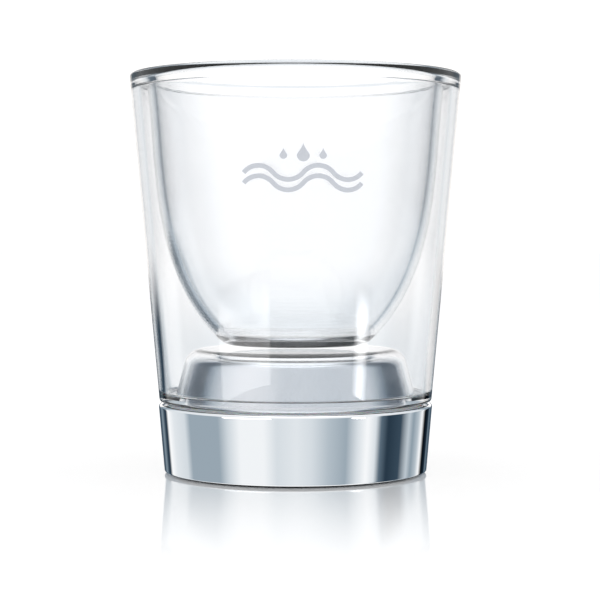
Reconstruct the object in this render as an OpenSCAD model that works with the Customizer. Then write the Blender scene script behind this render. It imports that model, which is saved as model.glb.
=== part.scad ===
// Double-walled rinse glass that stands on its round inductive charging base.
// Millimetres. +Z is up, the origin is on the table under the middle, and the front faces -Y.

/* [Glass] */
// Outer diameter across the rim
rim_d = 83; // [78:0.5:100]
// Height of the rim above the table
rim_h = 100; // [88:1:125]
// Thickness of the outer wall
wall = 2.2; // [1.8:0.1:2.7]
// Thickness of the bowl's wall at its mouth
bowl_wall = 2; // [1.6:0.1:2.4]
// Width of the solid rim that joins the two walls
rim_w = 6.3; // [5.5:0.1:7.5]
// Depth of the solid rim
rim_depth = 3; // [2.4:0.1:4]
// Rounding of the rim's outer edge
rim_round = 0.9; // [0.6:0.1:1.1]
// Rounding of the rim's inner edge
mouth_round = 2; // [1:0.1:2.3]
// Rounding of the foot's outer edge
foot_round = 1; // [0.6:0.1:1.1]
// Thickness of the glass over the charging plateau
dome_t = 1.5; // [1.3:0.1:2.2]
// Diameter of the bowl's flat underside
bowl_base_d = 37; // [30:0.2:44]
// Thickness of the bowl's floor
bowl_floor_t = 2.4; // [2:0.1:4]
// Air gap between the domed foot and the bowl above it
bowl_gap = 1.1; // [0.6:0.1:2]

/* [Base] */
// Diameter of the metal ring at its top edge
ring_d = 68.8; // [64:0.2:82]
// Height of the metal ring
ring_h = 16.9; // [16:0.1:21]
// Lean of the metal ring's side, in degrees
ring_lean = 4.7; // [2:0.1:7]
// Thickness of the ring's wall at its foot
ring_wall = 1.6; // [1.3:0.1:2.2]
// Thickness of the ring's top lip
ring_lip = 1.9; // [1.7:0.1:2.6]
// Width of the shelf between ring and plateau, where the glass stands
shelf_w = 3.7; // [3.4:0.1:5.2]
// Height of the charging plateau above the shelf
plateau_h = 12.1; // [10:0.1:14]
// Lean of the plateau's side, in degrees
plateau_lean = 15; // [8:1:20]
// Rounding of the plateau's shoulder
plateau_round = 2.4; // [2:0.1:4]
// Wall thickness of the top cover
cover_wall = 1.6; // [1.3:0.1:2]
// Wall thickness of the lower housing
housing_wall = 1.8; // [1.4:0.1:2.2]
// Thickness of the lower housing's floor
housing_floor = 2.4; // [2.2:0.1:3]

/* [Cord inlet] */
// Bore of the rubber gland that takes the cord
gland_bore = 3.8; // [3:0.1:3.8]
// Diameter of the gland's neck in the wall
gland_neck = 5; // [4.6:0.1:6]

/* [Coil and board] */
// Diameter of the ferrite's centre post
post_d = 8; // [6:0.2:10]
// Thickness of the ferrite's disc
ferrite_t = 2; // [1.5:0.1:2.2]
// Thickness of the circuit board
board_t = 1.6; // [1.2:0.1:1.8]
// Diameter of the housing screws
screw_d = 2.9; // [2.5:0.1:3.2]

/* [Hidden] */
$fn = 96;

// Clearances, each used wherever that kind of fit occurs
slip = 0.2;          // between a piece and the recess it drops into
snug = 0.05;         // between a screw or gland and its hole
glass_clear = 0.5;   // between the plateau and the glass over it
step = 24;           // points along each curve of the bowl
eps = 0.01;          // how far a cut runs past a face

// Levels of the base, from the table up
foot_proud = 0.8;
ring_z = 0.6;
floor_top = foot_proud + housing_floor;
ring_top = ring_z + ring_h;
lip_h = 2.5;
ledge_t = 1.6;
ledge_top = ring_top - lip_h;
ledge_bottom = ledge_top - ledge_t;
gasket_t = 1;
housing_top = ledge_bottom - gasket_t;
flange_t = lip_h - 0.3;
flange_top = ledge_top + flange_t;
seat_t = 0.8;
seat_inset = 0.8;
foot_z = flange_top + seat_t;
plateau_top = flange_top + plateau_h;
cover_under = plateau_top - cover_wall;

spigot_t = 1.5;
spigot_up = 0.3;

// Radii of the base, from the outside in
ring_r = ring_d / 2;
ring_foot_r = ring_r - ring_h * tan(ring_lean);
ring_bore_r = ring_foot_r - ring_wall;
ledge_w = 1.2;
ledge_r = ring_bore_r - ledge_w;
recess_r = ring_r - ring_lip;
flange_r = recess_r - slip;
housing_r = ring_bore_r - slip;
housing_in_r = housing_r - housing_wall;
plateau_r = recess_r - shelf_w;
lip_round = 0.8;
edge_round = 0.25;

// Rubber foot and its groove
foot_t = 2;
foot_ring_r = housing_r - 1.1;
foot_ring_w = 3.8;

// Screws that hold the base together, and the pillars and bosses they run in
screw_r = screw_d / 2;
head_r = screw_r + 1.15;
head_t = 2;
head_z = foot_proud + 2;
pillar_r = head_r + 0.8;
boss_r = screw_r + 1.55;
boss_inset = 1.1;
bolt_r = plateau_r - cover_wall - boss_r - boss_inset;
bolt_angles = [30, 150, 270];
screw_end = 2.1;                    // plastic left over the screw's tip
screw_gap = 0.4;                    // how far the hole runs past the tip
screw_tip = cover_under - screw_end;
hex_share = 0.5;                    // a driver's socket, as a share of the head

// Cord gland, just above the floor
gland_r = gland_neck / 2;
gland_bead = 0.3;
gland_gap = 0.1;
gland_z = floor_top + gland_r + gland_bead + gland_gap;
gland_flange_r = gland_r + 1.1;
gland_out = 1.4;
bead_t = 1;
bead_y = housing_in_r - bead_t - 0.25;

// Circuit board, just above the gland, and what fixes it
board_z = gland_z + gland_r + gland_bead + gland_gap;
board_top = board_z + board_t;
board_r = housing_in_r - 0.8;
layout_r = 23.1;                    // screw circle that the components were laid out in
part_scale = bolt_r / layout_r;     // they grow and shrink with the room inside it
tallest_part = 5.8 * part_scale;
transistor_at = bolt_r - pillar_r - 4.8 * part_scale;
standoff_r = 2.6;
standoff_at = housing_in_r - 1.85 - standoff_r;
standoff_angles = [60, 180, 300];
standoff_floor = 1;
pin_r = 0.95;
pin_head_r = 2;
pin_head_t = 1.3;
sheet_t = 0.3;
sheet_inset = 1.2;
cut_gap = 0.3;

// Coil stack, between the board's components and the plateau
pad_t = 0.6;
former_top = cover_under - pad_t;
flange_thin = 0.8;
ear_t = 2;
carrier_t = 1.4;
carrier_z = board_top + tallest_part + 0.6;
ferrite_z = carrier_z + carrier_t;
former_z = ferrite_z + ferrite_t;
cup_gap = 1.3;
cup_r = bolt_r - boss_r - cup_gap;
cup_wall = 1.4;
ferrite_r = cup_r - cup_wall - 0.3;
former_r = ferrite_r - 0.5;
winding_r = former_r - 0.8;
post_r = post_d / 2;
hub_in_r = post_r + 0.3;
hub_r = hub_in_r + 1.2;
lead_r = 0.45;
lead_at = cup_r + 1.2;
lead_angles = [326, 334];

// Glass
rim_r = rim_d / 2;
glass_foot_r = ring_r - 0.1;
rim_in_r = rim_r - rim_w;
weld_z = rim_h - rim_depth;
wall_lean = atan((rim_r - glass_foot_r) / (rim_h - foot_z));
dome_under = plateau_top + glass_clear;
dome_top = dome_under + dome_t;
channel_t = 2.2;
channel_round = 0.8;
bowl_under = dome_top + bowl_gap;
bowl_floor_z = bowl_under + bowl_floor_t;
bowl_base_r = bowl_base_d / 2;
bowl_floor_r = bowl_base_r - 0.75 * bowl_wall;
bowl_corner = 1.6;
bowl_belly = 18.5;     // how far the lower curve of the bowl is pulled outwards, and up
belly_up = 17.6;

// Points on an arc round a centre, from one angle to another
function arc(c, r, from, to, n = 8) =
  [for (i = [0 : n]) let (a = from + (to - from) * i / n) [c.x + r * cos(a), c.y + r * sin(a)]];

// A point on a cubic curve with four control points
function cubic(p, t) =
  pow(1 - t, 3) * p[0] + 3 * t * pow(1 - t, 2) * p[1] + 3 * t * t * (1 - t) * p[2] + t * t * t * p[3];

// A round corner between two points, pulled towards a third
function corner(a, c, b, n = 5) =
  [for (i = [0 : n]) let (t = i / n) (1 - t) * (1 - t) * a + 2 * t * (1 - t) * c + t * t * b];

// Half outline of a low dome, offset outwards from the plateau, from height zb up to the axis
function dome(offset_by, zb) =
  let (
    a = plateau_lean,
    cz = plateau_top - plateau_round,
    cx = plateau_r - (plateau_round - (flange_top - cz) * sin(a)) / cos(a),
    r = plateau_round + offset_by,
    foot_r = plateau_r + (flange_top - zb) * tan(a) + offset_by / cos(a)
  )
  concat([[foot_r, zb]], arc([cx, cz], r, a, 90, 12), [[0, cz + r]]);

// Radius of the outer wall at a height, and of its inner face
function wall_at(z) = glass_foot_r + (z - foot_z) * tan(wall_lean);
function wall_in_at(z) = wall_at(z) - wall / cos(wall_lean);

// Radius of the cover's inner face at a height
function cover_in_at(z) = plateau_r - (z - flange_top) * tan(plateau_lean) - cover_wall / cos(plateau_lean);

// Radius of the metal ring's outer face at a height
function ring_at(z) = ring_foot_r + (z - ring_z) * tan(ring_lean);

// A list of points in the opposite order
function reversed(p) = [for (i = [len(p) - 1 : -1 : 0]) p[i]];

// The same shape at each of a list of angles, at a distance from the axis
module around(angles, at) {
  for (a = angles) rotate([0, 0, a]) translate([at, 0, 0]) children();
}

// A tube between two heights
module tube(r_out, r_in, z0, z1) {
  difference() {
    translate([0, 0, z0]) cylinder(r = r_out, h = z1 - z0);
    translate([0, 0, z0 - eps]) cylinder(r = r_in, h = z1 - z0 + 2 * eps);
  }
}

// ---- Glass ----

// Outer wall, solid rim and domed foot, blown as one
module glass_outer() {
  top_lean = 90 - wall_lean;
  dome_base = dome(glass_clear + dome_t, foot_z + channel_t)[0];
  foot_out = arc([wall_at(foot_z) - foot_round, foot_z + foot_round], foot_round, 270, 360);
  rim_out = arc([rim_r - rim_round, rim_h - rim_round], rim_round, 0, 90);
  rim_in = arc([rim_in_r + mouth_round, rim_h - mouth_round], mouth_round, 90, 180);
  cavity_r = wall_in_at(weld_z);
  cavity_top = corner([cavity_r - channel_round, weld_z], [cavity_r, weld_z],
    [wall_in_at(weld_z - channel_round), weld_z - channel_round]);
  channel_z = foot_z + channel_t;
  channel_r = wall_in_at(channel_z);
  channel = corner([wall_in_at(channel_z + channel_round), channel_z + channel_round],
    [channel_r, channel_z], [channel_r - channel_round, channel_z]);
  outline = concat(
    foot_out, rim_out, rim_in, [[rim_in_r, weld_z]], cavity_top, channel,
    dome(glass_clear + dome_t, channel_z), reversed(dome(glass_clear, foot_z))
  );
  color("azure", 0.35) rotate_extrude($fn = 144) polygon(outline);
}

// Inner bowl, welded to the underside of the rim
module glass_bowl() {
  mouth_in = [rim_in_r, weld_z];
  mouth_out = [rim_in_r + bowl_wall, weld_z];
  mouth_lean = 2.5;
  inner = [mouth_in, mouth_in - [mouth_lean, 18],
    [bowl_base_r + bowl_belly - bowl_wall - 0.2, bowl_under + belly_up + 1.2], [bowl_floor_r, bowl_floor_z]];
  outer = [mouth_out, mouth_out - [mouth_lean, 19],
    [bowl_base_r + bowl_belly, bowl_under + belly_up], [bowl_base_r, bowl_under + 0.6]];
  inner_curve = [for (i = [0 : step - 1]) cubic(inner, i / step)];
  outer_curve = [for (i = [0 : step - 1]) cubic(outer, i / step)];
  floor_edge = corner(inner_curve[step - 1], inner[3], [bowl_floor_r - bowl_corner, bowl_floor_z]);
  base_edge = corner(outer_curve[step - 1], [bowl_base_r - 0.4, bowl_under],
    [bowl_base_r - 0.4 - bowl_corner, bowl_under]);
  outline = concat(
    [for (i = [0 : step - 2]) inner_curve[i]], floor_edge, [[0, bowl_floor_z], [0, bowl_under]],
    reversed(base_edge), reversed([for (i = [0 : step - 2]) outer_curve[i]])
  );
  color("azure", 0.35) rotate_extrude($fn = 144) polygon(outline);
}

// ---- Casing of the base ----

// Polished metal ring with a ledge inside that the cover and housing clamp
module chrome_ring() {
  lip = arc([ring_at(ring_top) - lip_round, ring_top - lip_round], lip_round, 0, 90);
  outline = concat(
    [[ring_foot_r - edge_round, ring_z], [ring_at(ring_z + edge_round), ring_z + edge_round]],
    lip,
    [[recess_r, ring_top], [recess_r, ledge_top], [ledge_r, ledge_top],
     [ledge_r, ledge_bottom], [ring_bore_r, ledge_bottom], [ring_bore_r, ring_z]]
  );
  color("silver") difference() {
    rotate_extrude($fn = 144) polygon(outline);
    gland_hole();
  }
}

// The hole for the gland, through the ring and the housing
module gland_hole() {
  translate([0, housing_in_r - 1, gland_z]) rotate([-90, 0, 0]) cylinder(r = gland_r + snug, h = ring_r);
}

// Silver cover with the raised charging plateau, its flange and the screw bosses
module top_cover() {
  shell = concat([[flange_r, ledge_top], [flange_r, flange_top]], dome(0, flange_top),
    reversed(dome(-cover_wall, ledge_top)));
  boss_z = carrier_z + ear_t;
  color("lightgray") difference() {
    union() {
      rotate_extrude($fn = 144) polygon(shell);
      tube(ledge_r - slip, ledge_r - slip - spigot_t, ledge_bottom + spigot_up, ledge_top + eps);
      around(bolt_angles, bolt_r)
        translate([0, 0, boss_z]) cylinder(r = boss_r, h = cover_under + eps - boss_z);
    }
    around(bolt_angles, bolt_r)
      translate([0, 0, boss_z - eps]) cylinder(r = screw_r + snug, h = screw_tip + screw_gap - boss_z);
  }
}

// Soft seat that the glass stands on
module seat_ring() {
  inner_r = dome(glass_clear, foot_z)[0].x + seat_inset;
  color("gainsboro") tube(flange_r - slip, inner_r, flange_top, foot_z);
}

// Pan with screw pillars, board standoffs and the groove for the foot
module lower_housing() {
  color("dimgray") difference() {
    union() {
      translate([0, 0, foot_proud]) cylinder(r = housing_r, h = housing_floor);
      tube(housing_r, housing_in_r, floor_top - eps, housing_top);
      around(bolt_angles, bolt_r)
        translate([0, 0, floor_top - eps]) cylinder(r = pillar_r, h = carrier_z - floor_top + eps);
      around(standoff_angles, standoff_at)
        translate([0, 0, floor_top - eps]) cylinder(r = standoff_r, h = board_z - floor_top + eps);
    }
    tube(foot_ring_r + snug, foot_ring_r - foot_ring_w - snug, foot_proud - eps, foot_t);
    around(bolt_angles, bolt_r) {
      translate([0, 0, foot_proud - eps]) cylinder(r = head_r + slip, h = head_z + head_t - foot_proud + eps);
      translate([0, 0, head_z]) cylinder(r = screw_r + 2 * snug, h = carrier_z);
    }
    around(standoff_angles, standoff_at)
      translate([0, 0, floor_top + standoff_floor]) cylinder(r = pin_r + snug, h = board_z);
    gland_hole();
  }
}

// Gasket between the housing's wall and the ring's ledge
module ring_gasket() {
  color("black") tube(housing_r - snug, housing_in_r - snug, housing_top, ledge_bottom);
}

// Rubber foot glued in its groove
module foot_ring() {
  color("black") tube(foot_ring_r, foot_ring_r - foot_ring_w, 0, foot_t);
}

// Three long screws from below, through housing and carrier into the cover
module housing_screws() {
  shaft_z = head_z + head_t;
  color("slategray") around(bolt_angles, bolt_r) difference() {
    union() {
      translate([0, 0, head_z]) cylinder(r = head_r, h = head_t);
      translate([0, 0, shaft_z - eps]) cylinder(r = screw_r, h = screw_tip - shaft_z + eps);
    }
    translate([0, 0, head_z - eps]) cylinder(r = head_r * hex_share, h = 1.2, $fn = 6);
  }
}

// Rubber gland for the cord: a flange outside, a neck through both walls, a bead inside
module cord_gland() {
  face_y = ring_at(gland_z) + gland_out;
  color("black") difference() {
    union() {
      translate([0, bead_y, gland_z]) rotate([-90, 0, 0]) cylinder(r = gland_r, h = face_y - bead_y);
      translate([0, bead_y, gland_z]) rotate([-90, 0, 0]) cylinder(r = gland_r + gland_bead, h = bead_t);
      difference() {
        translate([0, ring_foot_r - 2, gland_z]) rotate([-90, 0, 0])
          cylinder(r = gland_flange_r, h = face_y - ring_foot_r + 2);
        translate([0, 0, ring_z])
          cylinder(r1 = ring_foot_r + snug, r2 = ring_r + snug, h = ring_h, $fn = 144);
      }
    }
    translate([0, bead_y - 1, gland_z]) rotate([-90, 0, 0]) cylinder(r = gland_bore / 2, h = ring_r);
  }
}

// ---- Coil stack ----

// Foam pad that presses the coil down
module coil_pad() {
  color("khaki") translate([0, 0, former_top]) cylinder(r = former_r - 1, h = pad_t);
}

// Bobbin that the coil is wound on
module coil_former() {
  color("ivory") {
    tube(former_r, hub_in_r, former_z, former_z + flange_thin);
    tube(hub_r, hub_in_r, former_z + flange_thin - eps, former_top - flange_thin + eps);
    tube(former_r, hub_in_r, former_top - flange_thin, former_top);
  }
}

// Enamelled copper coil, a slightly barrelled ring
module coil_winding() {
  z0 = former_z + flange_thin;
  z1 = former_top - flange_thin;
  side = corner([winding_r - 0.5, z0], [winding_r + 0.5, (z0 + z1) / 2], [winding_r - 0.5, z1]);
  color("peru") rotate_extrude($fn = 144)
    polygon(concat([[hub_r + 2 * snug, z0]], side, [[hub_r + 2 * snug, z1]]));
}

// Ferrite disc with its centre post
module ferrite_core() {
  color("darkslategray") {
    translate([0, 0, ferrite_z]) cylinder(r = ferrite_r, h = ferrite_t);
    translate([0, 0, former_z - eps]) cylinder(r = post_r, h = former_top - 0.3 - former_z + eps);
  }
}

// Tray that holds the ferrite, with three ears on the screws
module coil_carrier() {
  ear_r = min(pillar_r - slip, cover_in_at(carrier_z + ear_t) - bolt_r - slip);
  color("whitesmoke") difference() {
    union() {
      translate([0, 0, carrier_z]) cylinder(r = cup_r, h = carrier_t + ferrite_t);
      around(bolt_angles, bolt_r) translate([0, 0, carrier_z]) cylinder(r = ear_r, h = ear_t);
      around(bolt_angles, bolt_r / 2)
        translate([0, -1.5, carrier_z]) cube([bolt_r / 2, 3, ear_t]);
    }
    translate([0, 0, ferrite_z]) cylinder(r = cup_r - cup_wall, h = ferrite_t + eps);
    around(bolt_angles, bolt_r)
      translate([0, 0, carrier_z - eps]) cylinder(r = screw_r + 2 * snug, h = ear_t + 2 * eps);
  }
}

// Two leads from the coil down to the board
module coil_leads() {
  out_z = former_z + flange_thin + 1;
  reach = lead_at - winding_r - 0.6;
  color("peru") around(lead_angles, lead_at) {
    translate([0, 0, board_top]) cylinder(r = lead_r, h = out_z + lead_r - board_top);
    translate([-reach, 0, out_z]) rotate([0, 90, 0]) cylinder(r = lead_r - snug, h = reach);
  }
}

// ---- Circuit board and its components ----

// Round board with cut-outs for the pillars
module circuit_board() {
  color("seagreen") difference() {
    translate([0, 0, board_z]) cylinder(r = board_r, h = board_t);
    around(bolt_angles, bolt_r)
      translate([0, 0, board_z - eps]) cylinder(r = pillar_r + cut_gap, h = board_t + 2 * eps);
    around(standoff_angles, standoff_at)
      translate([0, 0, board_z - eps]) cylinder(r = pin_r + slip, h = board_t + 2 * eps);
  }
}

// Three small screws that hold the board
module board_screws() {
  length = board_top - floor_top - standoff_floor - 0.4;
  color("silver") around(standoff_angles, standoff_at) difference() {
    union() {
      translate([0, 0, board_top]) cylinder(r = pin_head_r, h = pin_head_t);
      translate([0, 0, board_top - length]) cylinder(r = pin_r, h = length + eps);
    }
    translate([0, 0, board_top + pin_head_t / 2])
      cylinder(r = pin_head_r * hex_share, h = pin_head_t, $fn = 6);
  }
}

// Insulating sheet on the floor under the board
module insulating_sheet() {
  color("tan") difference() {
    translate([0, 0, floor_top]) cylinder(r = board_r - sheet_inset, h = sheet_t);
    around(bolt_angles, bolt_r)
      translate([0, 0, floor_top - eps]) cylinder(r = pillar_r + cut_gap, h = 2 * sheet_t);
    around(standoff_angles, standoff_at)
      translate([0, 0, floor_top - eps]) cylinder(r = standoff_r + cut_gap, h = 2 * sheet_t);
  }
}

// Puts a component on the board, a distance from the middle at an angle
module on_board(at, angle, turn = 0) {
  rotate([0, 0, angle]) translate([at, 0, board_top]) rotate([0, 0, turn]) scale(part_scale) children();
}

// A moulded chip with a row of flat legs on two sides
module chip(length, width, height, legs, pitch) {
  leg = 0.5;
  lift = 0.15;
  translate([-length / 2, -width / 2, lift]) cube([length, width, height - lift]);
  for (side = [-1, 1], i = [0 : legs - 1])
    translate([(i - (legs - 1) / 2) * pitch - leg / 2, side * (width / 2 + 0.5) - 0.6, 0])
      cube([leg, 1.2, 0.4]);
}

// Electrolytic capacitor, lying on its side
module bulk_capacitor() {
  can_r = 2.9;
  can_l = 10.5;
  groove = [[0, 0], [can_r - 0.2, 0], [can_r, 0.2], [can_r, 1.2], [can_r - 0.35, 1.5],
    [can_r - 0.35, 1.9], [can_r, 2.2], [can_r, can_l - 0.2], [can_r - 0.2, can_l], [0, can_l]];
  color("midnightblue") on_board(12.9 * part_scale, 240, 38) {
    translate([-can_l / 2, 0, can_r]) rotate([0, 90, 0]) rotate_extrude() polygon(groove);
    for (side = [-1, 1]) translate([-can_l / 2 - 1.2, side * 1.25, 0]) {
      cylinder(r = 0.3, h = can_r + 0.3);
      translate([0, 0, can_r]) rotate([0, 90, 0]) cylinder(r = 0.25, h = 1.3);
    }
  }
}

// Two film capacitors that tune the coil
module film_capacitors() {
  color("firebrick") for (side = [-1, 1])
    on_board(14.3 * part_scale, 292, 22) translate([0, side * 2.1, 0])
      translate([-3.6, -1.5, 0]) cube([7.2, 3, 5.6]);
}

// Mains filter choke: a drum with its winding in the waist
module choke() {
  outline = [[0, 0], [3.2, 0], [3.2, 1], [2.6, 1.2], [2.6, 4.4], [3.2, 4.6], [3.2, 5.6], [0, 5.6]];
  color("saddlebrown") on_board(10.3 * part_scale, 110) rotate_extrude() polygon(outline);
}

// Two flat power transistors with their cooling tabs
module power_transistors() {
  color("black") for (side = [-1, 1]) on_board(transistor_at, 172 + side * 20) {
    translate([-3, -3.2, 0]) cube([6, 6.4, 2.3]);
    translate([-4.2, -2.6, 0]) cube([1.3, 5.2, 0.6]);
    for (k = [-1, 1]) translate([2.9, k * 2.2 - 0.4, 0]) cube([2, 0.8, 0.5]);
  }
}

// Chip that drives the coil
module control_chip() {
  color("black") on_board(3.4 * part_scale, 0, 90) chip(5, 4, 1.6, 4, 1.27);
}

// Bridge rectifier
module bridge_rectifier() {
  color("black") on_board(16 * part_scale, 62, 62) chip(4.8, 4, 2.4, 2, 2.5);
}

// Fusible resistor on its two bent legs
module fuse_resistor() {
  body_r = 1.5;
  body_l = 8;
  span = 5;
  color("cadetblue") on_board(15.7 * part_scale, 18, 100) {
    translate([-body_l / 2, 0, body_r + 0.5]) rotate([0, 90, 0]) cylinder(r = body_r, h = body_l);
    for (side = [-1, 1]) translate([side * span, 0, 0]) {
      cylinder(r = 0.35, h = body_r + 0.8);
      translate([side < 0 ? 0 : -1.1, 0, body_r + 0.5]) rotate([0, 90, 0]) cylinder(r = 0.3, h = 1.1);
    }
  }
}

// Two-way terminal for the cord's wires
module terminal_block() {
  color("seagreen") on_board(19.5 * part_scale, 90) difference() {
    translate([-2.6, -4.5, 0]) cube([5.2, 9, 5.6]);
    for (side = [-1, 1]) translate([0, side * 2.2, 2.4]) {
      rotate([0, 90, 0]) cylinder(r = 1, h = 4);
      cylinder(r = 1.2, h = 4);
    }
  }
}

glass_outer();
glass_bowl();
chrome_ring();
top_cover();
seat_ring();
lower_housing();
ring_gasket();
foot_ring();
housing_screws();
cord_gland();
coil_pad();
coil_former();
coil_winding();
ferrite_core();
coil_carrier();
coil_leads();
circuit_board();
board_screws();
insulating_sheet();
bulk_capacitor();
film_capacitors();
choke();
power_transistors();
control_chip();
bridge_rectifier();
fuse_resistor();
terminal_block();
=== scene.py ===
# %% [markdown]
# # A charging glass on its inductive base
# The object is a clear double-walled rinse glass that stands on a low, polished metal ring. The ring
# hides a charging coil under a domed silver plateau, and the domed foot of the glass fits over it.
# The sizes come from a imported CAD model. It is loaded first, and everything made here is placed by
# the boxes of its parts, so that the looks and the model never drift apart.

# %% Load the model
import math

import bmesh
import bpy
from mathutils import Matrix, Vector


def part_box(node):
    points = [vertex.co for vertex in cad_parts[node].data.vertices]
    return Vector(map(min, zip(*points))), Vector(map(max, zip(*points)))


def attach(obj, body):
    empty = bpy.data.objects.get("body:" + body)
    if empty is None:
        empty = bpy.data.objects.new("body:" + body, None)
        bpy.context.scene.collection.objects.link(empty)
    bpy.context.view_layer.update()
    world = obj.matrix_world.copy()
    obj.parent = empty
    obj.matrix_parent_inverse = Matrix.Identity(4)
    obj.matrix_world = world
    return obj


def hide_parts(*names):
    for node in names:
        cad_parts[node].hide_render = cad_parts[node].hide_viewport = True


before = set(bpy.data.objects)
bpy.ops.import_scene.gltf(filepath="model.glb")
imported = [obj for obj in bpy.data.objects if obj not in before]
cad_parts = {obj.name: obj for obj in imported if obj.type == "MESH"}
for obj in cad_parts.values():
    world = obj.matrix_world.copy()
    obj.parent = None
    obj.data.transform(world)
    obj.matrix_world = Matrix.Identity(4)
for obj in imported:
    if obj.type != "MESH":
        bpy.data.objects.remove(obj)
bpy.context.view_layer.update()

# %% [markdown]
# ## Camera
# A product like this is shot from a little above half its own height with a long lens, so that the
# rim is seen slightly from below and the ring slightly from above. The camera stands straight in
# front and tips down by two degrees, which sets the glass a little high in the picture.

# %% Camera
MM = 0.001
CAMERA_DISTANCE = 467 * MM
CAMERA_HEIGHT = 60 * MM
CAMERA_ASIDE = 1.13 * MM
CAMERA_TILT = math.radians(2.04)
LENS = 111.2
CLIP_NEAR, CLIP_FAR = 10 * MM, 20

camera = bpy.data.objects.new("studio_camera", bpy.data.cameras.new("studio_camera"))
bpy.context.scene.collection.objects.link(camera)
bpy.context.scene.camera = camera
camera.location = (CAMERA_ASIDE, -CAMERA_DISTANCE, CAMERA_HEIGHT)
camera.rotation_euler = (math.pi / 2 - CAMERA_TILT, 0, 0)
camera.data.lens = LENS
camera.data.clip_start = CLIP_NEAR
camera.data.clip_end = CLIP_FAR
print("camera at", [round(x, 4) for x in camera.location], "with a lens of", LENS, "mm")

# %% [markdown]
# ## Measures from the model
# Levels and outer radii are read from the boxes of the CAD parts. Walls, roundings, leans and the
# bowl's inner shape are given as numbers, the same as in the model, because a box doesn't hold them.

# %% Measures
glass_low, glass_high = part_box("glass_outer")
bowl_low, bowl_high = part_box("glass_bowl")
ring_low, ring_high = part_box("chrome_ring")
cover_low, cover_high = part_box("top_cover")
seat_low, seat_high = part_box("seat_ring")

FOOT_Z, RIM_Z, RIM_R = glass_low.z, glass_high.z, glass_high.x
BOWL_UNDER, WELD_Z, MOUTH_OUT_R = bowl_low.z, bowl_high.z, bowl_high.x
RING_FOOT_Z, RING_TOP_Z, RING_R = ring_low.z, ring_high.z, ring_high.x
SHELF_Z, PLATEAU_Z, FLANGE_R = seat_low.z, cover_high.z, cover_high.x

OUTER_WALL = 2.2 * MM
BOWL_WALL = 2.0 * MM
RIM_ROUND = 0.9 * MM
MOUTH_ROUND = 2.0 * MM
FOOT_ROUND = 1.0 * MM
DOME_CLEAR = 0.5 * MM
DOME_WALL = 1.5 * MM
PLATEAU_LEAN = math.radians(15)
PLATEAU_ROUND = 2.4 * MM
PLATEAU_R = 28.8 * MM
GLASS_FOOT_R = RING_R - 0.1 * MM
WALL_LEAN = math.atan((RIM_R - GLASS_FOOT_R) / (RIM_Z - FOOT_Z))
MOUTH_IN_R = MOUTH_OUT_R - BOWL_WALL
BOWL_FLOOR_Z = BOWL_UNDER + 2.4 * MM
BOWL_BASE_R = 18.5 * MM
BOWL_FLOOR_R = BOWL_BASE_R - 0.75 * BOWL_WALL
BOWL_BELLY, BELLY_UP = 18.5 * MM, 17.6 * MM
print("rim", round(RIM_R, 4), "at", round(RIM_Z, 4), "wall leans", round(math.degrees(WALL_LEAN), 2))

# %% [markdown]
# ## Helpers for turned shapes
# Glass, ring and plateau are all turned round one axis. An outline is a short list of points in the
# plane of radius and height: straight stretches have a point at each end, and round ones are arcs
# or curves. One operator, spin, then sweeps the outline round the axis.

# %% Helpers for outlines
def arc(centre, radius, start, end, steps=10):
    """Points on an arc, with its angles in degrees."""
    angles = [math.radians(start + (end - start) * i / steps) for i in range(steps + 1)]
    return [Vector((centre[0] + radius * math.cos(a), centre[1] + radius * math.sin(a))) for a in angles]


def cubic(p, t):
    """A point on a cubic curve."""
    s = 1 - t
    return p[0] * s**3 + p[1] * 3 * t * s * s + p[2] * 3 * t * t * s + p[3] * t**3


def corner(a, pull, b, steps=6):
    """A round corner from a to b, pulled towards a third point."""
    a, pull, b = Vector(a), Vector(pull), Vector(b)
    share = [i / steps for i in range(steps + 1)]
    return [a * (1 - t) ** 2 + pull * 2 * t * (1 - t) + b * t * t for t in share]


def wall_at(z):
    """Outer radius of the glass at a height."""
    return GLASS_FOOT_R + (z - FOOT_Z) * math.tan(WALL_LEAN)


def wall_in_at(z):
    """Radius of the outer wall's inner face at a height."""
    return wall_at(z) - OUTER_WALL / math.cos(WALL_LEAN)


def dome(outside, z):
    """Half outline of the plateau, or of a dome that lies outside it, from a height up to the axis."""
    centre_z = PLATEAU_Z - PLATEAU_ROUND
    drop = (PLATEAU_ROUND - (SHELF_Z - centre_z) * math.sin(PLATEAU_LEAN)) / math.cos(PLATEAU_LEAN)
    centre_r = PLATEAU_R - drop
    foot_r = PLATEAU_R + (SHELF_Z - z) * math.tan(PLATEAU_LEAN) + outside / math.cos(PLATEAU_LEAN)
    radius = PLATEAU_ROUND + outside
    shoulder = arc((centre_r, centre_z), radius, math.degrees(PLATEAU_LEAN), 90, steps=16)
    return [Vector((foot_r, z))] + shoulder + [Vector((0, centre_z + radius))]


def held(outline, reach=0.15 * MM):
    """The outline with a point near each end of its long stretches, which keeps their shading flat."""
    closed = outline[0][0] > 0
    points = [Vector((p[0], p[1])) for p in outline]
    result = []
    for a, b in zip(points, points[1:] + points[:1]):
        result.append(a)
        length = (b - a).length
        if length > 6 * reach and (closed or b is not points[0]):
            result += [a.lerp(b, reach / length), a.lerp(b, 1 - reach / length)]
    return result


print("wall at the foot from", round(wall_in_at(FOOT_Z), 4), "to", round(wall_at(FOOT_Z), 4))

# %% Helper for turning an outline
SHARP = math.radians(30)
SEGMENTS = 256
SAME_PLACE = 1e-7


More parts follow.
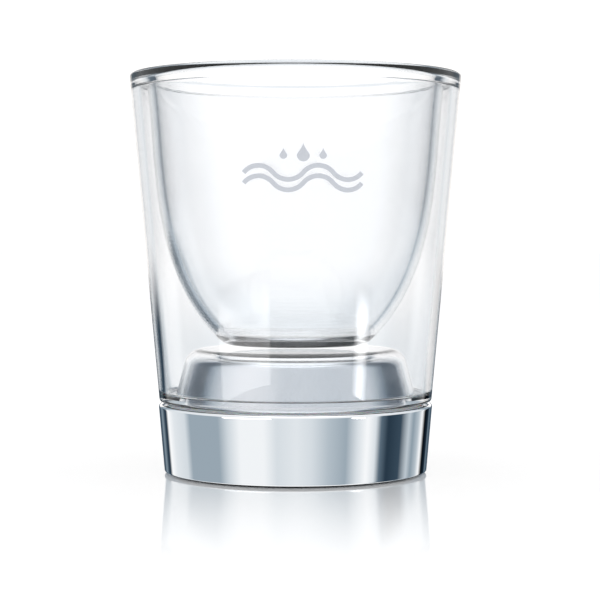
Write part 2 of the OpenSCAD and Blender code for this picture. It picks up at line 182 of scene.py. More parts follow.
def turned(name, outlines, inward=()):
    """A mesh object turned from one or more outlines; an outline's number in inward faces inwards."""
    mesh = bpy.data.meshes.new(name)
    whole = bmesh.new()
    for number, outline in enumerate(outlines):
        part = bmesh.new()
        points = [part.verts.new((p[0], 0, p[1])) for p in held(outline)]
        edges = [part.edges.new(pair) for pair in zip(points, points[1:])]
        if outline[0][0] > 0:
            edges.append(part.edges.new((points[-1], points[0])))
        bmesh.ops.spin(part, geom=points + edges, cent=(0, 0, 0), axis=(0, 0, 1), dvec=(0, 0, 0),
                       angle=2 * math.pi, steps=SEGMENTS, use_merge=True, use_duplicate=False)
        bmesh.ops.remove_doubles(part, verts=part.verts, dist=SAME_PLACE)
        bmesh.ops.recalc_face_normals(part, faces=part.faces)
        if number in inward:
            bmesh.ops.reverse_faces(part, faces=part.faces)
        for face in part.faces:
            face.smooth = True
        for edge in part.edges:
            edge.smooth = edge.calc_face_angle(0) < SHARP
        part.to_mesh(mesh)
        part.free()
        whole.from_mesh(mesh)
    whole.to_mesh(mesh)
    whole.free()
    made = bpy.data.objects.new(name, mesh)
    bpy.context.scene.collection.objects.link(made)
    print(name, len(mesh.vertices), "points")
    return made


print("outlines are turned in", SEGMENTS, "steps")

# %% [markdown]
# ## The glass
# The real glass is blown in one piece: outer wall, solid rim, inner bowl and domed foot. In a
# renderer, clear glass only bends light properly when each surface is there once and closed. So it
# is made as two turned skins: the outside, which runs from under the dome round the foot, the wall
# and the rim into the bowl, and the sealed air space between the walls, whose faces look inwards.

# %% Glass
CURVE_STEPS = 64
CURVE_KEPT = 62
EDGE_STEPS = 12
MOUTH_DRAWN_IN = 2.5 * MM
CHANNEL_FLOOR = 2.2 * MM
CHANNEL_BEND = 0.8 * MM


def bowl_side(curve, edge, floor_start):
    """A wall of the bowl down its curve, round its bottom edge and along its floor to the axis."""
    side = [cubic(curve, i / CURVE_STEPS) for i in range(CURVE_KEPT)]
    bend = corner(cubic(curve, CURVE_KEPT / CURVE_STEPS), edge, floor_start, EDGE_STEPS)
    return side + bend + [Vector((0, floor_start[1]))]


def glass_outside():
    under = dome(DOME_CLEAR, FOOT_Z)[::-1]
    foot = arc((wall_at(FOOT_Z) - FOOT_ROUND, FOOT_Z + FOOT_ROUND), FOOT_ROUND, 270, 360)
    rim = arc((RIM_R - RIM_ROUND, RIM_Z - RIM_ROUND), RIM_ROUND, 0, 90)
    mouth = arc((MOUTH_IN_R + MOUTH_ROUND, RIM_Z - MOUTH_ROUND), MOUTH_ROUND, 90, 180)
    curve = [Vector((MOUTH_IN_R, WELD_Z)), Vector((MOUTH_IN_R - MOUTH_DRAWN_IN, WELD_Z - 18 * MM)),
             Vector((BOWL_BASE_R + BOWL_BELLY - BOWL_WALL - 0.2 * MM, BOWL_UNDER + BELLY_UP + 1.2 * MM)),
             Vector((BOWL_FLOOR_R, BOWL_FLOOR_Z))]
    return under + foot + rim + mouth + bowl_side(curve, curve[3], (BOWL_FLOOR_R - 1.6 * MM, BOWL_FLOOR_Z))


def air_space():
    low = FOOT_Z + CHANNEL_FLOOR
    floor = dome(DOME_CLEAR + DOME_WALL, low)[::-1]
    channel = corner((wall_in_at(low) - CHANNEL_BEND, low), (wall_in_at(low), low),
                     (wall_in_at(low + CHANNEL_BEND), low + CHANNEL_BEND))
    top = corner((wall_in_at(WELD_Z - CHANNEL_BEND), WELD_Z - CHANNEL_BEND), (wall_in_at(WELD_Z), WELD_Z),
                 (MOUTH_OUT_R, WELD_Z))
    curve = [Vector((MOUTH_OUT_R, WELD_Z)), Vector((MOUTH_OUT_R - MOUTH_DRAWN_IN, WELD_Z - 19 * MM)),
             Vector((BOWL_BASE_R + BOWL_BELLY, BOWL_UNDER + BELLY_UP)),
             Vector((BOWL_BASE_R, BOWL_UNDER + 0.6 * MM))]
    bowl = bowl_side(curve, (BOWL_BASE_R - 0.4 * MM, BOWL_UNDER), (BOWL_BASE_R - 2 * MM, BOWL_UNDER))
    return floor + channel + top + bowl[1:]


glass = turned("glass_tumbler", [glass_outside(), air_space()], inward=(1,))
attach(glass, "glass")
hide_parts("glass_outer", "glass_bowl")

# %% [markdown]
# ## The metal ring
# The ring shows its polish by what it mirrors, and a mirror shows every facet. So the ring is turned
# again with many more steps than the model needs, with the same lean, lip and inner ledge.

# %% Ring
RING_LEAN = math.radians(4.7)
RING_FOOT_R = RING_R - (RING_TOP_Z - RING_FOOT_Z) * math.tan(RING_LEAN)
LIP_ROUND = 0.8 * MM
RING_EASE = 0.3 * MM
RING_WALL = 1.6 * MM
RECESS_R = FLANGE_R + 0.2 * MM
COVER_BELOW_LEDGE = 1.3 * MM
LEDGE_TOP = cover_low.z + COVER_BELOW_LEDGE
LEDGE_UNDER = LEDGE_TOP - 1.6 * MM
LEDGE_REACH = 1.2 * MM


def ring_outline():
    bore = RING_FOOT_R - RING_WALL
    lip = arc((RING_R - LIP_ROUND, RING_TOP_Z - LIP_ROUND), LIP_ROUND, -math.degrees(RING_LEAN), 90,
              steps=12)
    inner = [(RECESS_R, RING_TOP_Z), (RECESS_R, LEDGE_TOP), (bore - LEDGE_REACH, LEDGE_TOP),
             (bore - LEDGE_REACH, LEDGE_UNDER), (bore, LEDGE_UNDER), (bore, RING_FOOT_Z)]
    low = corner((RING_FOOT_R - RING_EASE, RING_FOOT_Z), (RING_FOOT_R, RING_FOOT_Z),
                 (RING_FOOT_R + 0.02 * MM, RING_FOOT_Z + RING_EASE))
    return low + lip + [Vector(p) for p in inner]


ring = turned("polished_ring", [ring_outline()])
print("ring from", round(RING_FOOT_R, 4), "at its foot to", round(RING_R, 4), "at its top")
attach(ring, "base")
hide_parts("chrome_ring")

# %% [markdown]
# ## The plateau
# The silver cover is one thin shell. Its round shoulder and leaning side match the dome of the glass,
# with a narrow gap between them, and its flange lies on the ledge inside the ring.

# %% Plateau
COVER_WALL = 1.6 * MM


def cover_outline():
    under = dome(-COVER_WALL, LEDGE_TOP)[::-1]
    return under + [Vector((FLANGE_R, LEDGE_TOP)), Vector((FLANGE_R, SHELF_Z))] + dome(0, SHELF_Z)


plateau = turned("silver_plateau", [cover_outline()])
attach(plateau, "base")
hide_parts("top_cover")


# %% [markdown]
# ## A fired-on mark
# Rinse glasses like this carry a small pale print on the front. Here it is a mark of our own: three
# drops over a double wave. The enamel is a skin a few hundredths of a millimetre thick, so each shape is
# drawn flat from circles and turned strips, and then bent round the glass and given its thickness.

# %% The mark, drawn flat
MARK_HEIGHT = 75 * MM
MARK_ASIDE = 1.9 * MM
WAVE_WIDTH = 28 * MM
WAVE_LINE = 1.1 * MM
WAVE_HEIGHTS = (-3.2 * MM, -0.8 * MM)
WAVE_HALF_TURN = math.radians(50)
DROP_HEIGHT = 3.2 * MM
DROPS = ((-4.6 * MM, 0.9 * MM), (0, 1.5 * MM), (4.6 * MM, 0.9 * MM))
ENAMEL = 0.05 * MM


def wave_strip(sheet, height, crests=4):
    """A wave line of short arcs, alternately over and under its middle."""
    span = WAVE_WIDTH / crests
    radius = span / 2 / math.sin(WAVE_HALF_TURN)
    for number in range(crests):
        up = 1 if number % 2 == 0 else -1
        middle = -WAVE_WIDTH / 2 + (number + 0.5) * span
        centre = Vector((middle, 0, height - up * radius * math.cos(WAVE_HALF_TURN)))
        ends = [sheet.verts.new(centre + Vector((0, 0, up * (radius + side * WAVE_LINE / 2))))
                for side in (-1, 1)]
        edge = sheet.edges.new(ends)
        bmesh.ops.rotate(sheet, verts=ends, cent=centre, matrix=Matrix.Rotation(-WAVE_HALF_TURN, 3, "Y"))
        bmesh.ops.spin(sheet, geom=ends + [edge], cent=centre, axis=(0, 1, 0), dvec=(0, 0, 0),
                       angle=2 * WAVE_HALF_TURN, steps=18, use_duplicate=False)


def drop(sheet, aside, height, size):
    """A water drop: a disc whose upper half is drawn up to a point."""
    place = Matrix.Translation((aside, 0, height)) @ Matrix.Rotation(math.pi / 2, 4, "X")
    disc = bmesh.ops.create_circle(sheet, cap_ends=True, cap_tris=True, segments=48, radius=size,
                                   matrix=place)
    for vert in disc["verts"]:
        up = (vert.co.z - height) / size
        if up > 0:
            vert.co.x = aside + (vert.co.x - aside) * (1 - up**1.5)
            vert.co.z = height + size * up * (1 + 0.9 * up)


mark_mesh = bpy.data.meshes.new("glass_mark")
sheet = bmesh.new()
for height in WAVE_HEIGHTS:
    wave_strip(sheet, MARK_HEIGHT + height)
for aside, size in DROPS:
    drop(sheet, aside, MARK_HEIGHT + DROP_HEIGHT, size)
bmesh.ops.remove_doubles(sheet, verts=sheet.verts, dist=0.02 * MM)
print("mark drawn with", len(sheet.faces), "faces")

# %% The mark, bent round the glass
for vert in sheet.verts:
    radius = wall_at(vert.co.z)
    angle = (vert.co.x + MARK_ASIDE) / radius
    vert.co.x, vert.co.y = radius * math.sin(angle), -radius * math.cos(angle)
bmesh.ops.recalc_face_normals(sheet, faces=sheet.faces)
inwards = [face for face in sheet.faces if face.normal.y > 0]
bmesh.ops.reverse_faces(sheet, faces=inwards)
skin = bmesh.ops.extrude_face_region(sheet, geom=sheet.faces[:])
for vert in [item for item in skin["geom"] if isinstance(item, bmesh.types.BMVert)]:
    vert.co += Vector((vert.co.x, vert.co.y, 0)).normalized() * ENAMEL
bmesh.ops.recalc_face_normals(sheet, faces=sheet.faces)
sheet.to_mesh(mark_mesh)
sheet.free()
mark = bpy.data.objects.new("glass_mark", mark_mesh)
bpy.context.scene.collection.objects.link(mark)
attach(mark, "glass")
print("mark spans", [round(1000 * side, 1) for side in mark.dimensions], "mm")

# %% [markdown]
# ## How the finishes are made
# Every finish starts from one Principled shader. What is the same all over sits on the shader's own
# sockets. What varies is worked out from a point's place on the piece: a pattern is stretched to its
# scale, and its grey drives a colour, a roughness and a small bump.

# %% Helpers for finishes
def set_up(node, settings):
    """Give a node its settings: a socket's value where it has such a socket, otherwise a property."""
    for setting, value in settings.items():
        if setting in node.inputs:
            node.inputs[setting].default_value = value
        else:
            setattr(node, setting, value)


def linear(red, green, blue):
    """A colour given as it looks on screen, 0 to 255, as the shader wants it."""
    return [((c / 255 + 0.055) / 1.055) ** 2.4 if c > 10 else c / 3294.6 for c in (red, green, blue)] + [1]


class Finish:
    """A material with one Principled shader, and patterns on Object coordinates that vary it."""

    def __init__(self, name, colour, **sockets):
        self.material = bpy.data.materials.new(name)
        self.material.use_nodes = True
        self.nodes, self.links = self.material.node_tree.nodes, self.material.node_tree.links
        self.shader = self.nodes["Principled BSDF"]
        self.shader.inputs["Base Color"].default_value = linear(*colour)
        for socket, value in sockets.items():
            self.shader.inputs[socket.replace("_", " ")].default_value = value

    def pattern(self, kind, size, stretch=(1, 1, 1), turn=(0, 0, 0), **settings):
        """A texture whose detail is about one size across, stretched along its axes."""
        place = self.nodes.new("ShaderNodeTexCoord")
        mapping = self.nodes.new("ShaderNodeMapping")
        mapping.inputs["Scale"].default_value = [1 / (size * along) for along in stretch]
        mapping.inputs["Rotation"].default_value = [math.radians(a) for a in turn]
        texture = self.nodes.new(f"ShaderNodeTex{kind}")
        texture.inputs["Scale"].default_value = 1
        set_up(texture, settings)
        self.links.new(place.outputs["Object"], mapping.inputs["Vector"])
        self.links.new(mapping.outputs["Vector"], texture.inputs["Vector"])
        return texture.outputs["Distance" if kind == "Voronoi" else "Fac"]

    def colours(self, grey, *stops):
        """Base colour by the pattern's grey, from stops of (grey, colour)."""
        ramp = self.nodes.new("ShaderNodeValToRGB")
        for number, (at, colour) in enumerate(stops):
            element = ramp.color_ramp.elements[number] if number < 2 else ramp.color_ramp.elements.new(at)
            element.position = at
            element.color = linear(*colour)
        self.links.new(grey, ramp.inputs["Fac"])
        self.links.new(ramp.outputs["Color"], self.shader.inputs["Base Color"])
        return self

    def roughness(self, grey, low, high):
        """Roughness between two values, by the pattern's grey."""
        span = self.nodes.new("ShaderNodeMapRange")
        span.inputs["To Min"].default_value = low
        span.inputs["To Max"].default_value = high
        self.links.new(grey, span.inputs["Value"])
        self.links.new(span.outputs["Result"], self.shader.inputs["Roughness"])
        return self

    def bump(self, grey, depth):
        """Relief of a depth in metres, by the pattern's grey."""
        relief = self.nodes.new("ShaderNodeBump")
        relief.inputs["Distance"].default_value = depth
        relief.inputs["Strength"].default_value = 1
        self.links.new(grey, relief.inputs["Height"])
        self.links.new(relief.outputs["Normal"], self.shader.inputs["Normal"])
        return self


FINISHES = {}


def make(maker):
    """Make a finish, keep it under its maker's name and say how many nodes it took."""
    FINISHES[maker.__name__] = maker()
    print("finish", maker.__name__, "made with", len(FINISHES[maker.__name__].nodes), "nodes")


print("white for the shader is", [round(part, 3) for part in linear(255, 255, 255)])

# %% [markdown]
# ## Clear glass
# Fire-polished glass is as smooth as a surface gets, but a blown wall isn't perfectly even: slow waves
# a few centimetres long and some thousandths of a millimetre deep make the light seen through it
# swim a little. A faint cool colour stands for the little that the glass takes out of the light.

# %% Glass finish
def clear_glass():
    glass_finish = Finish("clear_glass", (253, 254, 255), IOR=1.48, Transmission_Weight=1.0)
    waves = glass_finish.pattern("Noise", 9 * MM, stretch=(1, 1, 6), Detail=1.0)
    glass_finish.roughness(waves, 0.0, 0.004)
    return glass_finish.bump(waves, 0.002 * MM)


make(clear_glass)
print("glass bends light by", FINISHES["clear_glass"].shader.inputs["IOR"].default_value)

# %% [markdown]
# ## The mark's enamel
# Etched-looking enamel is a thin pale grey glass full of fine powder, so it scatters light and hides
# the view behind it. Its grain is finer than a tenth of a millimetre.

# %% Enamel
def frosted_print():
    enamel = Finish("frosted_print", (196, 199, 206), Specular_IOR_Level=0.5)
    powder = enamel.pattern("Noise", 0.09 * MM, Detail=3.0)
    enamel.colours(powder, (0.3, (182, 186, 194)), (0.7, (205, 208, 214)))
    return enamel.roughness(powder, 0.45, 0.62).bump(powder, 0.01 * MM)


make(frosted_print)

# %% [markdown]
# ## Metals
# The ring is brass under bright chrome. A mirror looks right when it reflects something worth seeing,
# so the finish itself is nearly plain: a cool white metal, with a breath of polishing haze running
# round it. The plateau is sprayed: metal flakes a tenth of a millimetre across under a clear coat.
# Screws are zinc-plated steel with a cloudy passivation.

# %% Chrome
def polished_chrome():
    chrome = Finish("polished_chrome", (247, 249, 251), Metallic=1.0)
    haze = chrome.pattern("Noise", 1.5 * MM, stretch=(6, 6, 0.15), Detail=4.0)
    return chrome.roughness(haze, 0.012, 0.045).bump(haze, 0.0004 * MM)


make(polished_chrome)

# %% Silver
def silver_cover():
    silver = Finish("silver_cover", (240, 242, 245), Metallic=0.9, Coat_Weight=0.5, Coat_Roughness=0.03)
    flakes = silver.pattern("Voronoi", 0.16 * MM, feature="F1")
    silver.colours(flakes, (0.1, (248, 249, 251)), (0.7, (226, 229, 234)))
    return silver.roughness(flakes, 0.12, 0.19).bump(flakes, 0.0015 * MM)


make(silver_cover)

# %% Screw steel
def screw_steel():
    steel = Finish("screw_steel", (196, 199, 203), Metallic=1.0)
    cloud = steel.pattern("Noise", 1.2 * MM, Detail=5.0)
    steel.colours(cloud, (0.35, (206, 209, 213)), (0.6, (188, 192, 190)), (0.75, (198, 194, 178)))
    return steel.roughness(cloud, 0.22, 0.4).bump(cloud, 0.003 * MM)


make(screw_steel)

# %% [markdown]
# ## Rubber, silicone and moulded plastic
# The seat is milky silicone, the foot, gasket and gland are black rubber with a talc-like bloom, and
# the pan is a dark moulded plastic with a fine spark-eroded grain. Their grain is what tells them
# apart: silicone has almost none, rubber a soft orange peel, and the plastic a crisp sand.

# %% Silicone and rubber
def soft_seat():
    silicone = Finish("soft_seat", (238, 240, 243), Subsurface_Weight=0.35, Subsurface_Scale=0.8 * MM)
    dust = silicone.pattern("Noise", 0.4 * MM, Detail=3.0)
    silicone.colours(dust, (0.3, (232, 235, 239)), (0.7, (243, 245, 247)))
    return silicone.roughness(dust, 0.38, 0.5).bump(dust, 0.006 * MM)


def black_rubber():
    rubber = Finish("black_rubber", (26, 27, 29), Specular_IOR_Level=0.4, Sheen_Weight=0.25)
    bloom = rubber.pattern("Noise", 0.7 * MM, Detail=5.0)
    rubber.colours(bloom, (0.3, (20, 21, 23)), (0.75, (44, 45, 47)))
    return rubber.roughness(bloom, 0.62, 0.82).bump(bloom, 0.03 * MM)


for maker in (soft_seat, black_rubber):
    make(maker)

# %% Moulded plastic and foam
def housing_plastic():
    plastic = Finish("housing_plastic", (58, 61, 66))
    sand = plastic.pattern("Voronoi", 0.22 * MM, feature="F1")
    plastic.colours(sand, (0.1, (52, 55, 60)), (0.8, (68, 71, 76)))
    return plastic.roughness(sand, 0.42, 0.6).bump(sand, 0.02 * MM)


def natural_plastic():
    nylon = Finish("natural_plastic", (232, 226, 210), Subsurface_Weight=0.2, Subsurface_Scale=1 * MM)
    flow = nylon.pattern("Noise", 3 * MM, stretch=(1, 1, 3), Detail=4.0)
    nylon.colours(flow, (0.3, (226, 219, 200)), (0.7, (240, 235, 222)))
    return nylon.roughness(flow, 0.34, 0.48).bump(flow, 0.01 * MM)


def foam():
    cells = Finish("foam", (70, 72, 76), Sheen_Weight=0.2)
    pores = cells.pattern("Voronoi", 0.5 * MM, feature="SMOOTH_F1")
    # The dark colour in the pores is painted shade, laid where the bump sinks the cells.
    cells.colours(pores, (0.1, (30, 31, 33)), (0.55, (92, 94, 98)))
    return cells.roughness(pores, 0.8, 0.95).bump(pores, 0.25 * MM)


for maker in (housing_plastic, natural_plastic, foam):
    make(maker)

# %% [markdown]
# ## Coil and ferrite
# The coil is wound from enamelled copper. Its turns lie in rows that a band pattern along the axis
# draws and raises, every 0.35 mm, with painted shade in the grooves between them. Ferrite is a pressed
# and fired powder, dull and dark with specks.

# %% Coil finishes
def copper():
    winding = Finish("copper", (184, 104, 62), Metallic=1.0, Coat_Weight=0.8, Coat_Roughness=0.1)
    turns = winding.pattern("Wave", 1.1 * MM, bands_direction="Z", Distortion=0.25)
    # The darker copper between the turns is painted shade, not a colour of the wire.
    winding.colours(turns, (0.05, (112, 52, 26)), (0.6, (206, 124, 78)))
    return winding.roughness(turns, 0.5, 0.24).bump(turns, 0.1 * MM)


def ferrite():
    pressed = Finish("ferrite", (52, 53, 56))
    specks = pressed.pattern("Noise", 0.3 * MM, Detail=6.0)
    pressed.colours(specks, (0.35, (42, 43, 46)), (0.7, (74, 76, 80)))
    return pressed.roughness(specks, 0.5, 0.72).bump(specks, 0.03 * MM)


for maker in (copper, ferrite):
    make(maker)

# %% [markdown]
# ## The board and its components
# Nobody sees the board until the base is open, but a model that is taken apart should still hold up.
# Solder mask shows the copper tracks under it as paler cells with sharp bounds. The sheet below is a
# fibrous card, and the components are dipped, sleeved or moulded, each with its own gloss and grain.

# %% Board and card
def board_green():
    mask = Finish("board_green", (24, 96, 58), Coat_Weight=0.6, Coat_Roughness=0.12)
    tracks = mask.pattern("Voronoi", 3.2 * MM, feature="DISTANCE_TO_EDGE")
    mask.colours(tracks, (0.06, (18, 74, 44)), (0.1, (44, 128, 78)))
    return mask.roughness(tracks, 0.3, 0.4).bump(tracks, 0.02 * MM)


def board_paper():
    card = Finish("board_paper", (196, 176, 140))
    fibres = card.pattern("Noise", 0.5 * MM, stretch=(7, 1, 1), turn=(0, 0, 25), Detail=5.0)
    card.colours(fibres, (0.3, (178, 156, 120)), (0.7, (212, 194, 160)))
    return card.roughness(fibres, 0.7, 0.88).bump(fibres, 0.03 * MM)


for maker in (board_green, board_paper):
    make(maker)

# %% Capacitors
def capacitor_sleeve():
    sleeve = Finish("capacitor_sleeve", (34, 48, 88), Coat_Weight=0.4, Coat_Roughness=0.15)
    shrink = sleeve.pattern("Noise", 1.4 * MM, stretch=(3, 1, 1), turn=(0, 0, -278), Detail=3.0)
    sleeve.colours(shrink, (0.35, (28, 40, 76)), (0.7, (46, 62, 106)))
    return sleeve.roughness(shrink, 0.3, 0.42).bump(shrink, 0.03 * MM)


def film_red():
    dip = Finish("film_red", (150, 34, 28), Coat_Weight=0.7, Coat_Roughness=0.08)
    sag = dip.pattern("Noise", 2.4 * MM, Detail=2.0)
    dip.colours(sag, (0.3, (132, 26, 22)), (0.7, (172, 46, 36)))
    return dip.roughness(sag, 0.25, 0.36).bump(sag, 0.08 * MM)


for maker in (capacitor_sleeve, film_red):
    make(maker)

# %% Chip, resistor and terminals
def chip_black():
    mould = Finish("chip_black", (30, 31, 33))
    filler = mould.pattern("Noise", 0.14 * MM, Detail=4.0)
    mould.colours(filler, (0.3, (24, 25, 27)), (0.75, (50, 51, 54)))
    return mould.roughness(filler, 0.5, 0.7).bump(filler, 0.012 * MM)


def resistor_blue():
    lacquer = Finish("resistor_blue", (96, 142, 168), Coat_Weight=0.5, Coat_Roughness=0.1)
    body = lacquer.pattern("Noise", 0.9 * MM, Detail=3.0)
    lacquer.colours(body, (0.3, (84, 130, 156)), (0.7, (118, 162, 186)))
    return lacquer.roughness(body, 0.3, 0.42).bump(body, 0.02 * MM)


def terminal_green():
    moulding = Finish("terminal_green", (30, 120, 66))
    flow = moulding.pattern("Noise", 1.8 * MM, stretch=(1, 3, 1), Detail=4.0)
    moulding.colours(flow, (0.3, (24, 108, 58)), (0.7, (42, 138, 80)))
    return moulding.roughness(flow, 0.35, 0.48).bump(flow, 0.01 * MM)


for maker in (chip_black, resistor_blue, terminal_green):
    make(maker)
print("finishes in all:", len(FINISHES))

# %% [markdown]
# ## Handing out the finishes
# The pieces made here get theirs by name. Every part that comes over from the CAD model already
# names its finish in its material slot, so one loop swaps each stand-in for the real thing.

# %% Hand out the finishes
for piece, finish in ((glass, "clear_glass"), (mark, "frosted_print"), (ring, "polished_chrome"),
                      (plateau, "silver_cover")):
    piece.data.materials.append(FINISHES[finish].material)
for name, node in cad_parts.items():
    for slot in node.material_slots:
        slot.material = FINISHES[slot.material.name.split(".")[0]].material
print("finished", len(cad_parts), "parts from the model")

# %% [markdown]
# ## The floor
# The set is a white sweep with a glossy acrylic sheet in the middle. Near the object a little over half
# of what the sheet sends back is a mirror image of what stands on it. That share fades to nothing a
# hand's breadth in front. Mixing mirror and matt by distance keeps the sum of the two white everywhere.

# %% Floor
FLOOR_SIZE = 6
MIRROR_NEAR, MIRROR_FAR = 33 * MM, 142 * MM
MIRROR_SHARE = 0.56

mesh = bpy.data.meshes.new("studio_floor")
sheet = bmesh.new()
bmesh.ops.create_grid(sheet, x_segments=1, y_segments=1, size=FLOOR_SIZE)
sheet.to_mesh(mesh)
sheet.free()
floor = bpy.data.objects.new("studio_floor", mesh)
bpy.context.scene.collection.objects.link(floor)

acrylic = Finish("studio_floor", (246, 247, 248), Roughness=0.05, Specular_IOR_Level=0.0)
place = acrylic.nodes.new("ShaderNodeTexCoord")
away = acrylic.nodes.new("ShaderNodeVectorMath")
away.operation = "LENGTH"
fade = acrylic.nodes.new("ShaderNodeMapRange")
set_up(fade, {"From Min": MIRROR_NEAR, "From Max": MIRROR_FAR, "To Min": MIRROR_SHARE, "To Max": 0})
acrylic.links.new(place.outputs["Object"], away.inputs[0])
acrylic.links.new(away.outputs["Value"], fade.inputs["Value"])
acrylic.links.new(fade.outputs["Result"], acrylic.shader.inputs["Metallic"])
mesh.materials.append(acrylic.material)
floor.visible_glossy = False
print("floor mirrors up to", round(1000 * MIRROR_FAR), "mm from the middle")

# %% [markdown]
# ## Light
# The whole set is lit by white all round, and by one large, weak softbox overhead that lets the floor
# darken softly where the base stands on it. Colours are shown as they are, with no film look.

# %% Light
WORLD_STRENGTH = 1.1
SOFTBOX_SIZE, SOFTBOX_POWER = 0.9, 1.2
SOFTBOX_PLACE = (0, -0.1, 0.9)

world = bpy.data.worlds.new("studio_world")
bpy.context.scene.world = world
world.use_nodes = True
world.node_tree.nodes["Background"].inputs["Color"].default_value = (1, 1, 1, 1)
world.node_tree.nodes["Background"].inputs["Strength"].default_value = WORLD_STRENGTH

softbox = bpy.data.lights.new("top_softbox", "AREA")
softbox.size = SOFTBOX_SIZE
softbox.energy = SOFTBOX_POWER
lamp = bpy.data.objects.new("top_softbox", softbox)
bpy.context.scene.collection.objects.link(lamp)
lamp.location = SOFTBOX_PLACE
lamp.visible_camera = False
bpy.context.scene.view_settings.view_transform = "Standard"
print("softbox of", SOFTBOX_POWER, "W")

# %% [markdown]
# ## Screens for metal and glass
# Polished metal and clear glass show nothing but their surroundings. In a studio, cards and flags
# stand just outside the picture: pale ones, mid grey ones, and dark ones that draw the edges. Here
# they are joined into two round screens. One is seen only in reflections and gives the ring its
# upright bands. The other is seen only through glass, where it draws the wall and bowl as soft
# lines, and lights the plateau under the glass. Brightness is 1 for white, and darker greys are
# bluer, as on a cool set.

# %% Greys of the set
PEAK = 1.4


def cool(brightness):
    """A grey of one brightness, bluer the darker it is, as a share of the brightest."""
    return [brightness**power / PEAK for power in (1.2, 1, 0.86)] + [1]


print("half grey is", [round(part * PEAK, 2) for part in cool(0.5)[:3]])

# %% Helper for glowing paint
class Glow:
    """A glowing material, built node by node, that knows where each point lies round the axis."""

    def __init__(self, name):
        self.material = bpy.data.materials.new(name)
        self.material.use_nodes = True
        self.nodes, self.links = self.material.node_tree.nodes, self.material.node_tree.links
        self.nodes.clear()
        self.place = self.node("TexCoord").outputs["Object"]
        apart = self.node("SeparateXYZ", self.place).outputs
        forwards = self.node("Math", apart["Y"], -1, operation="MULTIPLY").outputs[0]
        self.height = apart["Z"]
        self.turn = self.node("Math", apart["X"], forwards, operation="ARCTAN2").outputs[0]

    def node(self, kind, *sources, **settings):
        """A node whose inputs, in their order, come from other nodes' outputs or are plain values."""
        made = self.nodes.new(f"ShaderNode{kind}")
        set_up(made, settings)
        for number, source in enumerate(sources):
            if isinstance(source, bpy.types.NodeSocket):
                self.links.new(source, made.inputs[number])
            else:
                made.inputs[number].default_value = source
        return made

    def bands(self, share, stops):
        """Colours round the screen, from stops of (degrees from the front, brightness)."""
        ramp = self.node("ValToRGB", share)
        elements = ramp.color_ramp.elements
        elements.remove(elements[1])
        for number, (degrees, brightness) in enumerate(stops):
            element = elements[0] if number == 0 else elements.new(1)
            element.position = (degrees + 180) / 360
            element.color = cool(brightness)
        return ramp.outputs["Color"]

    def shine(self, colour, strength):
        """Finish the paint with its light, whose colour and strength may come from other nodes."""
        light = self.node("Emission", colour, strength)
        self.node("OutputMaterial", light.outputs[0])
        return self.material


print("brightest paint glows at", PEAK)

# %% Screens round the object
SCREEN_STEPS = 180


def screen_paint(name, radius, upper, lower, blend):
    """Glowing paint with bands round the axis, and another set of bands lower down."""
    paint = Glow(name)
    share = paint.node("MapRange", paint.turn, -math.pi, math.pi).outputs["Result"]
    flat = paint.node("VectorMath", paint.place, (1, 1, 0), operation="MULTIPLY").outputs["Vector"]
    reach = paint.node("VectorMath", flat, operation="LENGTH").outputs["Value"]
    along = paint.node("Math", reach, paint.height, operation="ADD").outputs[0]
    rise = paint.node("MapRange", along, radius + blend[0], radius + blend[1],
                      interpolation_type="SMOOTHSTEP").outputs["Result"]
    mix = paint.node("MixRGB", rise, paint.bands(share, lower), paint.bands(share, upper))
    return paint.shine(mix.outputs["Color"], PEAK)


def screen(name, profile, paint):
    """A screen turned from a profile of (radius, height) points, unseen by the camera."""
    mesh = bpy.data.meshes.new(name)
    turned_screen = bmesh.new()
    points = [turned_screen.verts.new((0, -radius, height)) for radius, height in profile]
    edges = [turned_screen.edges.new(pair) for pair in zip(points, points[1:])]
    bmesh.ops.spin(turned_screen, geom=points + edges, cent=(0, 0, 0), axis=(0, 0, 1), dvec=(0, 0, 0),
                   angle=2 * math.pi, steps=SCREEN_STEPS, use_merge=True, use_duplicate=False)
    turned_screen.to_mesh(mesh)
    turned_screen.free()
    mesh.materials.append(paint)
    made = bpy.data.objects.new(name, mesh)
    bpy.context.scene.collection.objects.link(made)
    made.visible_camera = made.visible_diffuse = made.visible_shadow = False
    print(name, "turned in", SCREEN_STEPS, "steps")
    return made


# %% Screen for reflections
METAL_RADIUS = 0.45
METAL_BANDS = [
    (-180, 0.1), (-156, 0.08), (-149, 0.3), (-141, 0.05), (-136.5, 0.04), (-132, 1.02), (-121, 0.83),
    (-104, 0.74), (-97, 0.4), (-66, 0.4), (-57, 0.7), (-46, 0.95), (-26, 0.95), (-15, 0.76), (1, 0.83),
    (13, 0.75), (27, 0.54), (42, 0.41), (52, 0.77), (61, 1), (69, 0.78), (74, 0.16), (82, 0.04),
    (97, 0.07), (108, 0.6), (115, 0.34), (124, 0.56), (131, 1), (137, 0), (147, 0.02), (151, 0.2),
    (157, 0.1),
]
HIGH_BANDS = [
    (-180, 1.1), (-156, 1.1), (-150, 0.3), (-138, 0.4), (-128, 0.8), (-60, 0.9), (0, 1), (60, 0.9),
    (128, 0.8), (138, 0.4), (150, 0.3), (156, 1.1),
]
METAL_MEET = (20 * MM, 40 * MM)
METAL_PROFILE = [(METAL_RADIUS, -0.4), (METAL_RADIUS, 0.5)]
metal_paint = screen_paint("metal_screen", METAL_RADIUS, HIGH_BANDS, METAL_BANDS, METAL_MEET)
metal_screen = screen("metal_screen", METAL_PROFILE, metal_paint)
metal_screen.visible_transmission = False

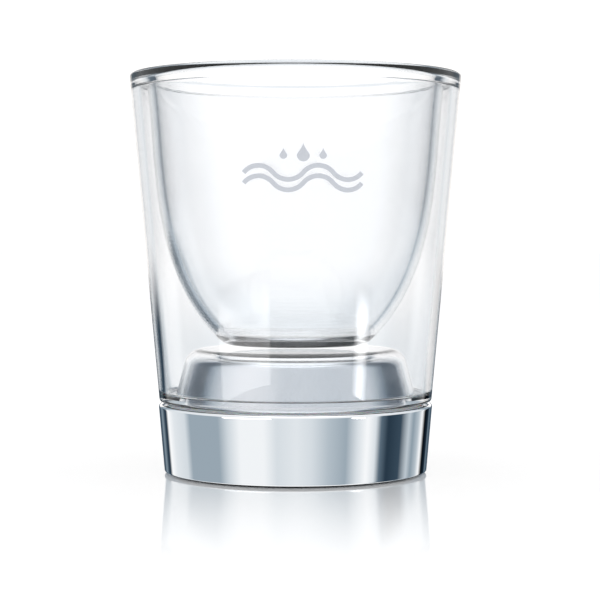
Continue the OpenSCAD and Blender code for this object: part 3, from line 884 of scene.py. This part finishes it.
# %% Screen for what is seen through glass
GLASS_RADIUS = 0.3
UPPER_BANDS = [
    (-180, 1.14), (-152, 1.14), (-144, 1.02), (-136, 0.85), (-129, 0.1), (-104, 0.05), (-97, 0.3),
    (-88, 0.65), (-76, 0.9), (-60, 1.05), (-45, 1.08), (-25, 1.0), (-12, 0.86), (5, 0.88), (40, 0.84),
    (60, 0.88), (76, 0.88), (86, 0.6), (95, 0.3), (104, 0.08), (128, 0.08), (136, 0.85), (144, 1.06),
    (152, 1.14), (180, 1.14),
]
LOWER_BANDS = [
    (-180, 0.9), (-171, 0.9), (-163, 1.0), (-156, 1.0), (-152, 0.4), (-149, 0.05), (-139, 0.06),
    (-134, 0.45), (-128, 0.6), (-110, 0.55), (-95, 0.9), (-40, 1), (40, 0.9), (90, 0.8), (106, 0.5),
    (132, 0.5), (140, 1.05), (153, 1.04), (163, 0.98), (171, 0.9), (180, 0.9),
]
GLASS_MEET = (10 * MM, 45 * MM)
GLASS_PROFILE = [(36 * MM, 0.5 * MM), (GLASS_RADIUS, 0.5 * MM), (GLASS_RADIUS, 0.5)]
glass_paint = screen_paint("glass_screen", GLASS_RADIUS, UPPER_BANDS, LOWER_BANDS, GLASS_MEET)
glass_screen = screen("glass_screen", GLASS_PROFILE, glass_paint)
glass_screen.visible_glossy = False

# %% [markdown]
# ## Strip lights
# Two upright strips stand low on both sides of the camera. The front of the glass mirrors only a few
# hundredths of the light, so the strips are many times brighter than the screens. They lay a narrow
# streak and a wide, weak sheen over the foot of the glass. They end above what the ring mirrors. That
# puts them below the floor, which works only because reflections here don't see the floor.

# %% Strip lights
STRIP_RADIUS = 0.44
STRIP_LOW, STRIP_HIGH = -82 * MM, -28 * MM


def strip_paint(name, start, end, glow, soft):
    """Glowing paint that fades towards both upright edges, and over the top third."""
    paint = Glow(name)
    across = paint.node("MapRange", paint.turn, math.radians(start), math.radians(end)).outputs["Result"]
    fade = paint.node("ValToRGB", across)
    stops = fade.color_ramp.elements
    stops[0].color, stops[1].color = (0, 0, 0, 1), (0, 0, 0, 1)
    for at in (soft, 1 - soft):
        stops.new(at).color = (1, 1, 1, 1)
    faded = STRIP_HIGH + (STRIP_LOW - STRIP_HIGH) / 3
    fall = paint.node("MapRange", paint.height, STRIP_HIGH, faded, interpolation_type="SMOOTHSTEP")
    both = paint.node("Math", fade.outputs["Color"], fall.outputs["Result"], operation="MULTIPLY")
    strength = paint.node("Math", both.outputs[0], glow, operation="MULTIPLY")
    return paint.shine((1, 1, 1, 1), strength.outputs[0])


def strip_light(name, start, end, glow, soft):
    """A curved upright strip between two azimuths, in degrees from the front."""
    mesh = bpy.data.meshes.new(name)
    strip = bmesh.new()
    ends = [strip.verts.new((0, -STRIP_RADIUS, height)) for height in (STRIP_LOW, STRIP_HIGH)]
    edge = strip.edges.new(ends)
    bmesh.ops.rotate(strip, verts=ends, cent=(0, 0, 0), matrix=Matrix.Rotation(math.radians(start), 3, "Z"))
    bmesh.ops.spin(strip, geom=ends + [edge], cent=(0, 0, 0), axis=(0, 0, 1), dvec=(0, 0, 0),
                   angle=math.radians(end - start), steps=24, use_duplicate=False)
    strip.to_mesh(mesh)
    strip.free()
    mesh.materials.append(strip_paint(name, start, end, glow, soft))
    made = bpy.data.objects.new(name, mesh)
    bpy.context.scene.collection.objects.link(made)
    made.visible_camera = made.visible_diffuse = made.visible_shadow = made.visible_transmission = False
    print(name, "from", start, "to", end, "degrees")


strip_light("narrow_strip", start=45, end=59, glow=13, soft=0.4)
strip_light("wide_strip", start=-62, end=-18, glow=4, soft=0.06)
